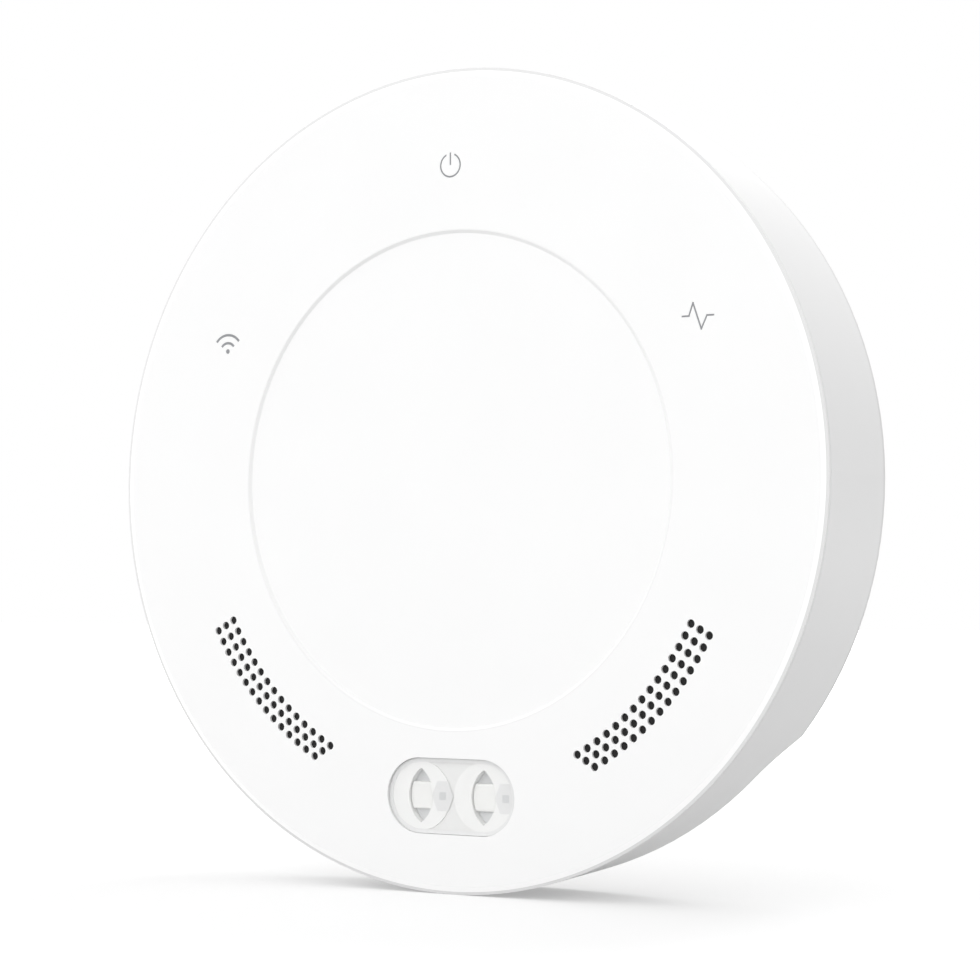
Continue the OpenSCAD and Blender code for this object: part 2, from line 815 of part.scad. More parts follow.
module relay(i) {
    color("midnightblue") stand() slab(relay_size, [block_xs[i], relay_y], board_z - relay_size[2]);
}

module terminal_block(i) {
    color("darkslategray") stand() translate([block_xs[i], -bay_top, 0]) difference() {
        translate([-block_w / 2, 0, block_z]) cube([block_w, block_l, block_h]);
        for (s = [-0.5, 0.5]) translate([s * pole_pitch, 0, 0]) {
            translate([0, -over, wire_z]) up_wall() cylinder(r = wire_r, h = wire_l + over);
            translate([0, 0, wire_z]) up_wall() cylinder(r1 = wire_r + funnel, r2 = wire_r, h = funnel);
            translate([0, 0, button_z]) button_block(button_w + 2 * button_gap, over, button_room);
            contact_strip(contact_gap);
        }
    }
}

// A square bar that starts below the bay's upper wall and runs into a block
module button_block(w, out, in) {
    translate([-w / 2, -out, -w / 2]) cube([w, out + in, w]);
}

// The strip that a wire is pressed against, soldered to the board
module contact_strip(gap) {
    translate([-contact_w / 2 - gap, wire_l - gap, contact_low - gap])
        cube([contact_w + 2 * gap, contact_t + 2 * gap, board_z - contact_low + (gap > 0 ? over : 0) + gap]);
}

module terminal_contacts() {
    color("silver") stand() for (x = button_xs) translate([x, -bay_top, 0]) contact_strip(0);
}

module terminal_button(i) {
    color("darkorange") stand() translate([button_xs[i], -bay_top, button_z])
        button_block(button_w, button_out, button_in);
}

module at_socket() {
    translate([socket_x, -bay_top, socket_z]) up_wall() children();
}

module power_socket_shell() {
    color("silver") stand() at_socket() difference() {
        linear_extrude(socket_l) stadium(socket_w, socket_h);
        translate([0, 0, -over]) linear_extrude(socket_l - socket_t + over)
            stadium(socket_w - 2 * socket_t, socket_h - 2 * socket_t);
    }
}

module power_socket_tongue() {
    color("black") stand() at_socket() translate([0, 0, socket_l - socket_t - tongue_l])
        linear_extrude(tongue_l) square([socket_w - 4 * tongue_t, tongue_t], center = true);
}

module reset_button() {
    color("gray") stand() translate([reset_x, 0, reset_z]) {
        translate([0, -bay_top - reset_out, 0]) up_wall()
            cylinder(r = reset_r, h = reset_out + bay_t + reset_flange_gap);
        translate([0, reset_flange_y, 0]) up_wall() cylinder(r = reset_flange_r, h = reset_flange_t);
        translate([0, reset_stem_y, 0]) up_wall() cylinder(r = reset_stem_r, h = reset_stem_l);
    }
}

module reset_switch() {
    color("dimgray") stand() difference() {
        slab(switch_size, [reset_x, switch_y + switch_size[1] / 2], board_z - switch_size[2]);
        translate([reset_x, switch_y - over, reset_z]) up_wall()
            cylinder(r = reset_stem_r + reset_gap, h = reset_stem_l + over);
    }
}

module capacitors() {
    color("lightgray") stand() at_places(cap_places) translate([0, 0, board_z - cap_h])
        cylinder(r = cap_r, h = cap_h);
}

module inductor() {
    color("dimgray") stand() slab(inductor_size, inductor_at, board_z - inductor_size[2]);
}

module regulator() {
    color("black") stand() slab(regulator_size, regulator_at, board_z - regulator_size[2]);
}

front_cover();
lens_window();
lamp_cup(lamp_xs[0]);  // lamp_cup_left
lamp_cup(lamp_xs[1]);  // lamp_cup_right
lamp_spacer();
lamp_led(lamp_xs[0]);  // lamp_led_left
lamp_led(lamp_xs[1]);  // lamp_led_right
lamp_board();
lamp_connector();
lamp_ribbon();
board_connector();
power_symbol();
signal_symbol();
activity_symbol();
indicator_leds();
vent_mesh(1);  // vent_mesh_left
vent_mesh(0);  // vent_mesh_right
sounder_case();
sounder_disc();
rear_housing();
case_screws();
main_board();
board_screws();
processor();
memory_chip();
radio_board();
radio_shield();
relay(0);  // relay_1
relay(1);  // relay_2
relay(2);  // relay_3
terminal_block(0);  // terminal_block_1
terminal_block(1);  // terminal_block_2
terminal_block(2);  // terminal_block_3
terminal_contacts();
terminal_button(0);  // terminal_button_1
terminal_button(1);  // terminal_button_2
terminal_button(2);  // terminal_button_3
terminal_button(3);  // terminal_button_4
terminal_button(4);  // terminal_button_5
terminal_button(5);  // terminal_button_6
power_socket_shell();
power_socket_tongue();
reset_button();
reset_switch();
capacitors();
inductor();
regulator();
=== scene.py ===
# %% [markdown]
# # A round wall hub for a garage door
# The part comes from CAD as 47 separate solids, in metres, with its front facing -Y. This lesson gives
# every solid the finish of the real piece, adds the small details that a lamp or a socket carries, and
# lights the result as a product studio would.

# %% Load the CAD frame
import math

import bmesh
import bpy
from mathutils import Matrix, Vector


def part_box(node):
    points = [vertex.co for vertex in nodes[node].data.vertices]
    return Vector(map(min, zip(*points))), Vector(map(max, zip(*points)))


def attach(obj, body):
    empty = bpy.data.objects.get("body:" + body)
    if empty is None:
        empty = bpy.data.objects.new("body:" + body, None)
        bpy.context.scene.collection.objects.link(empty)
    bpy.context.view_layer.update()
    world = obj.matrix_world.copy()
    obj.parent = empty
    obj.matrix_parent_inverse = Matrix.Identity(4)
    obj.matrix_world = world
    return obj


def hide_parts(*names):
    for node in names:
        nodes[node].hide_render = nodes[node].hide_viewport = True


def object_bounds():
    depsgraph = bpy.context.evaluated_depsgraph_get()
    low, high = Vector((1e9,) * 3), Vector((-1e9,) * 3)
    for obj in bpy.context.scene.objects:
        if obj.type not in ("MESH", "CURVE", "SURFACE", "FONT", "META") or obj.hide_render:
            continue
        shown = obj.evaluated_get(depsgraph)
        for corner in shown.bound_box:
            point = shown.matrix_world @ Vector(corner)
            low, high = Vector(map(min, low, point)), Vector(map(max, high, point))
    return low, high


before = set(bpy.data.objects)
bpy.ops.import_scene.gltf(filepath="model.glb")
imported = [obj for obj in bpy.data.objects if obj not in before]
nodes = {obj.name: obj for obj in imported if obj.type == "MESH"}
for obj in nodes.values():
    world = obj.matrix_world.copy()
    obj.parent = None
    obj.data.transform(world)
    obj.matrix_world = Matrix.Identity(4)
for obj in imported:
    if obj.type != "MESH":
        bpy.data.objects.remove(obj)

MM = 0.001
cad_low, cad_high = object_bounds()
print(f"{len(nodes)} solids, {(cad_high.x - cad_low.x) / MM:.1f} mm wide")

# %% [markdown]
# ## Camera
# The photograph was taken from the hub's right, a little below its middle, with a long lens. Place,
# target and focal length were fitted to the rim, the dish and the grilles, so the picture lines up
# without any shift.

# %% Camera
CAMERA_PLACE = Vector((0.26476, -0.44400, -0.02007))
CAMERA_TARGET = Vector((0.00849, -0.02800, -0.00204))
LENS_MM = 99.81
SENSOR_MM = 36.0
CLIP_START = 10 * MM

lens = bpy.data.cameras.new("studio_camera")
lens.lens = LENS_MM
lens.sensor_width = SENSOR_MM
lens.clip_start = CLIP_START
camera = bpy.data.objects.new("studio_camera", lens)
camera.location = CAMERA_PLACE
camera.rotation_euler = (CAMERA_TARGET - CAMERA_PLACE).to_track_quat("-Z", "Y").to_euler()
bpy.context.collection.objects.link(camera)
bpy.context.scene.camera = camera
bpy.context.scene.view_settings.view_transform = "Standard"
print(f"camera {(CAMERA_TARGET - CAMERA_PLACE).length:.3f} m away")

# %% [markdown]
# ## Two helpers for node trees
# Colours are picked as sRGB hex values, but shaders count in linear light, so one function converts them.
# A second one adds a node, sets its properties and fills its inputs: a socket is linked, a plain value is
# set.


# %% Colour and node helpers
def linear(hex_colour):
    """An sRGB hex colour as linear RGBA."""
    channels = [int(hex_colour[i:i + 2], 16) / 255 for i in (1, 3, 5)]
    rgb = [c / 12.92 if c <= 0.04045 else ((c + 0.055) / 1.055) ** 2.4 for c in channels]
    return (*rgb, 1.0)


def add_node(tree, kind, settings=None, inputs=None):
    """Adds a node with its settings, and links or sets its inputs."""
    node = tree.nodes.new(kind)
    for name, value in (settings or {}).items():
        setattr(node, name, value)
    for name, value in (inputs or {}).items():
        if isinstance(value, bpy.types.NodeSocket):
            tree.links.new(value, node.inputs[name])
        else:
            node.inputs[name].default_value = value
    return node


print("white is", linear("#FFFFFF"))

# %% [markdown]
# ## Floor and light
# The hub stands on its rim on a white table, in even light, with a faint soft shadow where it touches.
# The floor has two tones: the camera sees paper that also glows, more so away from the hub, so that it is
# white up to the horizon and its shadow stays pale. The light that bounces off it is a plain grey, which
# leaves the lower right of the side wall a little darker.

# %% Floor
FLOOR_SIZE = 6.0
FLOOR_PAPER = "#C3C3C3"
FLOOR_BOUNCE = "#C0C0C0"
FLOOR_GLOW = 0.37
FLOOR_GLOW_FAR = 1.0
GLOW_NEAR = 0.12
GLOW_REACH = 0.5


def seen_rays(tree):
    """One for the rays that show a picture of the surroundings, zero for those that only carry light."""
    path = add_node(tree, "ShaderNodeLightPath")
    glossy = add_node(tree, "ShaderNodeMath", {"operation": "MAXIMUM"},
                      {0: path.outputs["Is Camera Ray"], 1: path.outputs["Is Glossy Ray"]})
    seen = add_node(tree, "ShaderNodeMath", {"operation": "MAXIMUM"},
                    {0: glossy.outputs[0], 1: path.outputs["Is Transmission Ray"]})
    return seen.outputs[0]


floor_mesh = bpy.data.meshes.new("floor")
half = FLOOR_SIZE / 2
corners = [(x * half, y * half, cad_low.z) for x, y in ((-1, -1), (1, -1), (1, 1), (-1, 1))]
floor_mesh.from_pydata(corners, [], [(0, 1, 2, 3)])
floor = bpy.data.objects.new("floor", floor_mesh)
bpy.context.collection.objects.link(floor)

paper = bpy.data.materials.new("white_paper")
paper.use_nodes = True
tree = paper.node_tree
tree.nodes.clear()
seen = seen_rays(tree)
tone = add_node(tree, "ShaderNodeMix", {"data_type": "RGBA"},
                {"Factor": seen, 6: linear(FLOOR_BOUNCE), 7: linear(FLOOR_PAPER)})
place = add_node(tree, "ShaderNodeTexCoord").outputs["Object"]
away = add_node(tree, "ShaderNodeVectorMath", {"operation": "DISTANCE"},
                {0: place, 1: (0.0, 0.0, cad_low.z)})
level = add_node(tree, "ShaderNodeMapRange", None,
                 {"Value": away.outputs["Value"], 1: GLOW_NEAR, 2: GLOW_REACH,
                  3: FLOOR_GLOW, 4: FLOOR_GLOW_FAR})
glow = add_node(tree, "ShaderNodeMath", {"operation": "MULTIPLY"}, {0: seen, 1: level.outputs[0]})
matt = add_node(tree, "ShaderNodeBsdfDiffuse", None, {"Color": tone.outputs[2]})
lit = add_node(tree, "ShaderNodeEmission", None, {"Strength": glow.outputs[0]})
both = add_node(tree, "ShaderNodeAddShader", None, {0: matt.outputs[0], 1: lit.outputs[0]})
add_node(tree, "ShaderNodeOutputMaterial", None, {"Surface": both.outputs[0]})
floor_mesh.materials.append(paper)
print(f"floor at {cad_low.z / MM:.1f} mm")

# %% [markdown]
# The room is white to look at, but its light isn't even: it comes mostly from the front left, which
# leaves the right side of the wall grey and draws a thin line on the left of the dish. A softbox in front
# and a little above evens out the face, and a smaller lamp above and behind whitens the upper right of
# the side wall and gives the shadow its edge.

# %% World and lamps
LIGHT_FROM = Vector((-0.40, -0.50, 0.0)).normalized()
LIGHT_NEAR = 1.71
LIGHT_FAR = 0.475
SOFTBOX_PLACE = (0.10, -1.30, 0.30)
SOFTBOX_SIZE = 1.2
SOFTBOX_WATTS = 2.0
BACK_PLACE = (0.05, 0.60, 0.90)
BACK_SIZE = 0.5
BACK_WATTS = 3.4

world = bpy.data.worlds.new("studio")
world.use_nodes = True
tree = world.node_tree
tree.nodes.clear()
towards = add_node(tree, "ShaderNodeTexCoord").outputs["Generated"]
facing = add_node(tree, "ShaderNodeVectorMath", {"operation": "DOT_PRODUCT"}, {0: towards, 1: LIGHT_FROM})
fade = add_node(tree, "ShaderNodeMapRange", None,
                {"Value": facing.outputs["Value"], 1: -1.0, 2: 1.0, 3: LIGHT_FAR, 4: LIGHT_NEAR})
strength = add_node(tree, "ShaderNodeMix", None, {"Factor": seen_rays(tree), 2: fade.outputs[0], 3: 1.0})
sky = add_node(tree, "ShaderNodeBackground", None, {"Strength": strength.outputs[0]})
sky.inputs["Color"].default_value = linear("#FFFFFF")
add_node(tree, "ShaderNodeOutputWorld", None, {"Surface": sky.outputs[0]})
bpy.context.scene.world = world


def add_lamp(name, place, size, watts):
    """A square soft lamp that points at the hub."""
    light = bpy.data.lights.new(name, "AREA")
    light.size = size
    light.energy = watts
    lamp = bpy.data.objects.new(name, light)
    lamp.location = place
    lamp.rotation_euler = (-lamp.location).to_track_quat("-Z", "Y").to_euler()
    bpy.context.collection.objects.link(lamp)
    print(f"{name}: {watts} W, {lamp.location.length:.2f} m away")


add_lamp("front_softbox", SOFTBOX_PLACE, SOFTBOX_SIZE, SOFTBOX_WATTS)
add_lamp("back_lamp", BACK_PLACE, BACK_SIZE, BACK_WATTS)

# %% [markdown]
# ## Materials
# Each material starts as a Principled shader that reads Object coordinates, which are metres here. A
# pattern's scale is therefore one over its size in metres.


# %% Start of a material
def new_material(name):
    """A material with an empty Principled shader; returns it with its tree, shader and coordinates."""
    material = bpy.data.materials.new(name)
    material.use_nodes = True
    tree = material.node_tree
    tree.nodes.clear()
    shader = add_node(tree, "ShaderNodeBsdfPrincipled")
    add_node(tree, "ShaderNodeOutputMaterial", None, {"Surface": shader.outputs[0]})
    place = add_node(tree, "ShaderNodeTexCoord").outputs["Object"]
    return material, tree, shader, place


def per_metre(size_mm):
    """Scale of a texture whose cells are this many millimetres."""
    return 1 / (size_mm * MM)


print("a 0.5 mm grain has a scale of", per_metre(0.5))

# %% [markdown]
# ### Moulded plastics
# The case is white ABS from a spark-eroded mould: a fine even grain that breaks up the gloss, and a
# colour that drifts a little where the melt flowed. The terminals, buttons, relays and chip bodies are
# other plastics made the same way, so one function makes them all from a colour, a roughness and a grain.
# The grain is drawn at about 0.5 mm, coarser than the real one, so that it shows. The slope round the
# cover is painted lighter, a painted highlight. Its outermost rim and the rounded rear edge are painted a
# little greyer, painted shade that draws a soft outline round the hub. The slope of the dish is painted a
# little greyer too, also painted shade.


# %% Moulded plastics
FLOW_MM = 25.0
GRAIN_DETAIL = 3.0
POLISH_SPREAD = 0.05
RELIEF = 0.5


def moulded_plastic(name, colour, shade, roughness, ior=1.53, grain_mm=0.5, depth_mm=0.004):
    material, tree, shader, place = new_material(name)
    flow = add_node(tree, "ShaderNodeTexNoise", None, {"Vector": place, "Scale": per_metre(FLOW_MM)})
    tint = add_node(tree, "ShaderNodeMix", {"data_type": "RGBA"},
                    {"Factor": flow.outputs["Fac"], 6: linear(colour), 7: linear(shade)})
    grain = add_node(tree, "ShaderNodeTexNoise", None,
                     {"Vector": place, "Scale": per_metre(grain_mm), "Detail": GRAIN_DETAIL})
    polish = add_node(tree, "ShaderNodeMapRange", None,
                      {"Value": grain.outputs["Fac"], 3: roughness - POLISH_SPREAD,
                       4: roughness + POLISH_SPREAD})
    relief = add_node(tree, "ShaderNodeBump", None,
                      {"Height": grain.outputs["Fac"], "Strength": RELIEF, "Distance": depth_mm * MM})
    tree.links.new(tint.outputs[2], shader.inputs["Base Color"])
    tree.links.new(polish.outputs[0], shader.inputs["Roughness"])
    tree.links.new(relief.outputs[0], shader.inputs["Normal"])
    shader.inputs["IOR"].default_value = ior
    return material


# The slope round the cover is painted lighter: a painted highlight.
SLOPE_PAINTED_HIGHLIGHT = "#FBFBFB"
SLOPE_WIDTH = 1.4 * MM
# The outermost rim is painted greyer: painted shade that outlines the hub.
RIM_PAINTED_SHADE = "#DCDCDC"
RIM_WIDTH = 0.55 * MM
RIM_HEIGHT = 0.36 * MM
# The edge of the dish is painted greyer: painted shade.
DISH_PAINTED_SHADE = "#EBEBEB"
DISH_RADIUS = 45.30 * MM
DISH_HALF_WIDTH = 0.42 * MM
# The rounded rear edge is painted greyer: painted shade.
REAR_PAINTED_SHADE = "#E0E0E0"
REAR_WIDTH = 3.3 * MM
REAR_HEIGHT = 2.2 * MM


def paint_shading_ring(material, grey, radius, half_width, front, back):
    """Paints light or shade as another grey in a ring of the case, within half a width of a radius and
    between two depths.
    """
    tree = material.node_tree
    colour = tree.nodes["Principled BSDF"].inputs["Base Color"]
    place = add_node(tree, "ShaderNodeTexCoord").outputs["Object"]
    split = add_node(tree, "ShaderNodeSeparateXYZ", None, {"Vector": place})
    flat = add_node(tree, "ShaderNodeCombineXYZ", None, {"X": split.outputs["X"], "Y": split.outputs["Z"]})
    away = add_node(tree, "ShaderNodeVectorMath", {"operation": "LENGTH"}, {0: flat.outputs[0]})
    beside = add_node(tree, "ShaderNodeMath", {"operation": "COMPARE"},
                      {0: away.outputs["Value"], 1: radius, 2: half_width})
    between = add_node(tree, "ShaderNodeMath", {"operation": "COMPARE"},
                       {0: split.outputs["Y"], 1: (front + back) / 2, 2: (back - front) / 2})
    ring = add_node(tree, "ShaderNodeMath", {"operation": "MULTIPLY"},
                    {0: beside.outputs[0], 1: between.outputs[0]})
    toned = add_node(tree, "ShaderNodeMix", {"data_type": "RGBA"},
                     {"Factor": ring.outputs[0], 6: colour.links[0].from_socket, 7: linear(grey)})
    tree.links.new(toned.outputs[2], colour)


cover_abs = moulded_plastic("cover_abs", "#F1F1F1", "#EEEEEE", 0.45)
face = (cad_low.y - RIM_HEIGHT, cad_low.y + RIM_HEIGHT)
# Painted highlight on the slope, then painted shade on the outer rim and on the edge of the dish.
paint_shading_ring(cover_abs, SLOPE_PAINTED_HIGHLIGHT, cad_high.x, SLOPE_WIDTH, *face)
paint_shading_ring(cover_abs, RIM_PAINTED_SHADE, cad_high.x, RIM_WIDTH, *face)
paint_shading_ring(cover_abs, DISH_PAINTED_SHADE, DISH_RADIUS, DISH_HALF_WIDTH, *face)
housing_abs = moulded_plastic("housing_abs", "#F1F1F1", "#EEEEEE", 0.45)
rear = (cad_high.y - REAR_HEIGHT, cad_high.y + REAR_HEIGHT)
# Painted shade on the rounded rear edge of the housing.
paint_shading_ring(housing_abs, REAR_PAINTED_SHADE, cad_high.x, REAR_WIDTH, *rear)
grey_polyamide = moulded_plastic("grey_polyamide", "#4A4E50", "#44484A", 0.5)
orange_pbt = moulded_plastic("orange_pbt", "#E2711D", "#D86A18", 0.4)
blue_pbt = moulded_plastic("blue_pbt", "#22315E", "#1E2B55", 0.4)
black_epoxy = moulded_plastic("black_epoxy", "#1D1D1E", "#19191A", 0.55)
grey_pom = moulded_plastic("grey_pom", "#7A7C7E", "#737577", 0.4)
cream_nylon = moulded_plastic("cream_nylon", "#EAE3D0", "#E2DAC4", 0.45)
milky_acrylic = moulded_plastic("milky_acrylic", "#F4F4F3", "#F1F1F0", 0.3)
milky_epoxy = moulded_plastic("milky_epoxy", "#F3F3F1", "#EFEFED", 0.3)
satin_acrylic = moulded_plastic("satin_acrylic", "#ECECEB", "#E8E8E7", 0.4)
frame_abs = moulded_plastic("frame_abs", "#EAEAEA", "#E6E6E6", 0.4)
# The grey of the recess sheets is painted shade.
recess_shade_grey = moulded_plastic("recess_shade_grey", "#DADBDC", "#D6D7D8", 0.5, grain_mm=0.2)
sensor_epoxy = moulded_plastic("sensor_epoxy", "#E6E6E6", "#E2E2E2", 0.35, grain_mm=0.2)
sensor_die = moulded_plastic("sensor_die", "#D3D4D5", "#CDCECF", 0.3, grain_mm=0.1)
print("plastics:", [m.name for m in bpy.data.materials if m.users == 0])

# %% [markdown]
# ### Clear and lit materials
# The plate of the lamp window is polished acrylic, less than a millimetre thick and faintly wavy. Such a
# thin plate hardly bends light, so it is drawn with a low alpha: light passes straight through, and the
# gloss stays. The three symbols are the ends of light guides of grey polycarbonate, and the indicator
# LEDs behind them have a pale yellow phosphor.


# %% Clear plastics
def polished_plastic(name, colour, alpha, roughness, ior, wave_mm, depth_mm):
    material, tree, shader, place = new_material(name)
    wave = add_node(tree, "ShaderNodeTexNoise", None, {"Vector": place, "Scale": per_metre(wave_mm)})
    relief = add_node(tree, "ShaderNodeBump", None,
                      {"Height": wave.outputs["Fac"], "Strength": RELIEF, "Distance": depth_mm * MM})
    tree.links.new(relief.outputs[0], shader.inputs["Normal"])
    shader.inputs["Base Color"].default_value = linear(colour)
    shader.inputs["Alpha"].default_value = alpha
    shader.inputs["Roughness"].default_value = roughness
    shader.inputs["IOR"].default_value = ior
    return material


acrylic = polished_plastic("clear_acrylic", "#E6E7E7", 0.08, 0.05, 1.49, 6.0, 0.01)
guide_grey = polished_plastic("grey_polycarbonate", "#8B8D90", 1.0, 0.4, 1.58, 1.0, 0.004)
phosphor = moulded_plastic("phosphor", "#E6E0C8", "#DDD6BC", 0.6, grain_mm=0.1)
ceramic = moulded_plastic("white_ceramic", "#EDEDEA", "#E6E6E2", 0.35, grain_mm=0.2)
print("clear plastics:", acrylic.name, guide_grey.name)

# %% [markdown]
# ### Metals
# The screws and contacts are zinc plated, the socket and the radio shield are drawn from bright sheet,
# the sounder has a brass disc. Sheet and turned metal carry fine lines, so the grain is stretched along
# one axis.


# %% Metals
LINE_DETAIL = 4.0
LINE_SPREAD = 0.08


def drawn_metal(name, colour, shade, roughness, line_mm, stretch):
    material, tree, shader, place = new_material(name)
    turned = add_node(tree, "ShaderNodeMapping", None, {"Vector": place, "Scale": stretch})
    lines = add_node(tree, "ShaderNodeTexNoise", None,
                     {"Vector": turned.outputs[0], "Scale": per_metre(line_mm), "Detail": LINE_DETAIL})
    tint = add_node(tree, "ShaderNodeMix", {"data_type": "RGBA"},
                    {"Factor": lines.outputs["Fac"], 6: linear(colour), 7: linear(shade)})
    polish = add_node(tree, "ShaderNodeMapRange", None,
                      {"Value": lines.outputs["Fac"], 3: roughness - LINE_SPREAD,
                       4: roughness + LINE_SPREAD})
    tree.links.new(tint.outputs[2], shader.inputs["Base Color"])
    tree.links.new(polish.outputs[0], shader.inputs["Roughness"])
    shader.inputs["Metallic"].default_value = 1.0
    return material


ALONG_Z = (1.0, 1.0, 0.08)
EVEN = (1.0, 1.0, 1.0)
zinc_steel = drawn_metal("zinc_steel", "#C9CCD0", "#B4B8BC", 0.32, 0.3, EVEN)
bright_sheet = drawn_metal("bright_sheet", "#D4D5D6", "#C2C4C6", 0.22, 0.2, ALONG_Z)
brass = drawn_metal("brass", "#D9B46A", "#C7A057", 0.3, 0.3, EVEN)
gold_plate = drawn_metal("gold_plate", "#E3C27A", "#D2AE62", 0.2, 0.2, ALONG_Z)
aluminium = drawn_metal("aluminium_can", "#D2D4D8", "#C0C3C8", 0.3, 0.3, ALONG_Z)
tin = drawn_metal("tin_plate", "#CFCFCC", "#BEBEBA", 0.3, 0.2, EVEN)
print("metals:", zinc_steel.name, bright_sheet.name, brass.name)

# %% [markdown]
# ### Boards, film and mesh
# A circuit board is glass fibre under a glossy mask, with the copper tracks showing as slightly lighter
# lines. The ribbon is amber polyimide with its conductors showing through, and the grilles are backed
# with a black woven mesh. All three are patterns of lines, so a wave texture draws them, or, for the long
# tracks with their rare cross links, a brick texture with very long bricks.


# %% Boards, film and mesh
TRACK_RELIEF = 0.6
TRACK_HEIGHT = 0.03 * MM
MASK_ROUGHNESS = 0.3
LINE_RELIEF = 0.8
LINE_HEIGHT = 0.1 * MM
WAVE_PERIOD = math.pi / 10


def solder_mask(name, colour, track_colour, track_mm):
    material, tree, shader, place = new_material(name)
    flat = add_node(tree, "ShaderNodeMapping", None, {"Vector": place, "Rotation": (math.pi / 2, 0, 0)})
    tracks = add_node(tree, "ShaderNodeTexBrick", {"offset": 0.37, "offset_frequency": 3},
                      {"Vector": flat.outputs[0], "Scale": per_metre(track_mm), "Color1": linear(colour),
                       "Color2": linear(colour), "Mortar": linear(track_colour), "Mortar Size": 0.05,
                       "Brick Width": 7.0, "Row Height": 0.45})
    relief = add_node(tree, "ShaderNodeBump", None,
                      {"Height": tracks.outputs["Fac"], "Strength": TRACK_RELIEF, "Distance": TRACK_HEIGHT})
    tree.links.new(tracks.outputs["Color"], shader.inputs["Base Color"])
    tree.links.new(relief.outputs[0], shader.inputs["Normal"])
    shader.inputs["Roughness"].default_value = MASK_ROUGHNESS
    return material


def line_pattern(name, colour, line_colour, pitch_mm, roughness, crossed):
    """Lines in one direction or, where crossed, in two. A wave texture repeats every WAVE_PERIOD."""
    material, tree, shader, place = new_material(name)
    across = add_node(tree, "ShaderNodeTexWave", {"bands_direction": "X"},
                      {"Vector": place, "Scale": per_metre(pitch_mm) * WAVE_PERIOD})
    height = across.outputs["Fac"]
    if crossed:
        along = add_node(tree, "ShaderNodeTexWave", {"bands_direction": "Z"},
                         {"Vector": place, "Scale": per_metre(pitch_mm) * WAVE_PERIOD})
        height = add_node(tree, "ShaderNodeMath", {"operation": "MAXIMUM"},
                          {0: height, 1: along.outputs["Fac"]}).outputs[0]
    tint = add_node(tree, "ShaderNodeMix", {"data_type": "RGBA"},
                    {"Factor": height, 6: linear(colour), 7: linear(line_colour)})
    relief = add_node(tree, "ShaderNodeBump", None,
                      {"Height": height, "Strength": LINE_RELIEF, "Distance": LINE_HEIGHT})
    tree.links.new(tint.outputs[2], shader.inputs["Base Color"])
    tree.links.new(relief.outputs[0], shader.inputs["Normal"])
    shader.inputs["Roughness"].default_value = roughness
    return material


green_mask = solder_mask("green_solder_mask", "#1F5B38", "#2C7449", 2.5)
white_mask = solder_mask("white_solder_mask", "#E9E9E6", "#DEDEDA", 2.5)
amber_film = line_pattern("amber_polyimide", "#C58A3C", "#A9702B", 0.8, 0.35, False)
black_mesh = line_pattern("black_woven_mesh", "#0B0B0B", "#1A1A1A", 0.4, 0.8, True)
print("patterns:", green_mask.name, white_mask.name, amber_film.name, black_mesh.name)

# %% [markdown]
# ## Finish of the CAD solids
# A CAD solid has perfectly sharp edges, and a real one never has: light catches on a small radius. The
# imported triangles are loose and carry fixed normals, so a small Geometry Nodes tree first merges them
# and drops those normals. A Bevel modifier then rounds every edge above 40 degrees. The two case halves
# and the lamp cups keep the exact CAD surfaces, which are already rounded where the mould is.


# %% Finish helpers
MERGE_REACH = 0.001 * MM
SHARP_ANGLE = math.radians(30)
EDGE_ANGLE = math.radians(40)
EDGE_SEGMENTS = 2


def merge_tree():
    """Merges loose triangles and shades smooth, except across sharp edges."""
    tree = bpy.data.node_groups.new("merge_faces", "GeometryNodeTree")
    tree.interface.new_socket("Geometry", in_out="INPUT", socket_type="NodeSocketGeometry")
    tree.interface.new_socket("Geometry", in_out="OUTPUT", socket_type="NodeSocketGeometry")
    source = add_node(tree, "NodeGroupInput")
    merged = add_node(tree, "GeometryNodeMergeByDistance", None,
                      {"Geometry": source.outputs[0], "Distance": MERGE_REACH})
    angle = add_node(tree, "GeometryNodeInputMeshEdgeAngle")
    sharp = add_node(tree, "FunctionNodeCompare", {"operation": "GREATER_THAN"},
                     {0: angle.outputs[0], 1: SHARP_ANGLE})
    normals = add_node(tree, "GeometryNodeSetMeshNormal", {"mode": "SHARPNESS"},
                       {"Mesh": merged.outputs[0], "Remove Custom": True,
                        "Edge Sharpness": sharp.outputs[0], "Face Sharpness": False})
    add_node(tree, "NodeGroupOutput", None, {0: normals.outputs[0]})
    return tree


MERGE_FACES = merge_tree()


def finish(names, material, edge_mm=0.0):
    """Gives CAD nodes a material and, where edge_mm is set, rounded edges."""
    for name in names:
        piece = nodes[name]
        piece.data.materials.clear()
        piece.data.materials.append(material)
        if edge_mm:
            merge = piece.modifiers.new("merge", "NODES")
            merge.node_group = MERGE_FACES
            bevel = piece.modifiers.new("edges", "BEVEL")
            bevel.width = edge_mm * MM
            bevel.segments = EDGE_SEGMENTS
            bevel.limit_method = "ANGLE"
            bevel.angle_limit = EDGE_ANGLE
            bevel.harden_normals = True


print("merge tree with", len(MERGE_FACES.nodes), "nodes")

# %% Finish of the outside
finish(["front_cover"], cover_abs)
finish(["rear_housing"], housing_abs)
finish(["lamp_cup_left", "lamp_cup_right"], milky_acrylic)
finish(["lamp_spacer"], satin_acrylic)
finish(["power_symbol", "signal_symbol", "activity_symbol"], guide_grey)
finish(["vent_mesh_left", "vent_mesh_right"], black_mesh)
finish(["case_screws"], zinc_steel, 0.15)
finish([f"terminal_block_{i}" for i in (1, 2, 3)], grey_polyamide, 0.2)
finish([f"terminal_button_{i}" for i in range(1, 7)], orange_pbt, 0.3)
finish(["terminal_contacts"], zinc_steel, 0.1)
finish(["power_socket_shell"], bright_sheet, 0.08)
finish(["power_socket_tongue"], black_epoxy, 0.1)
finish(["reset_button"], grey_pom, 0.15)
print("outside finished")

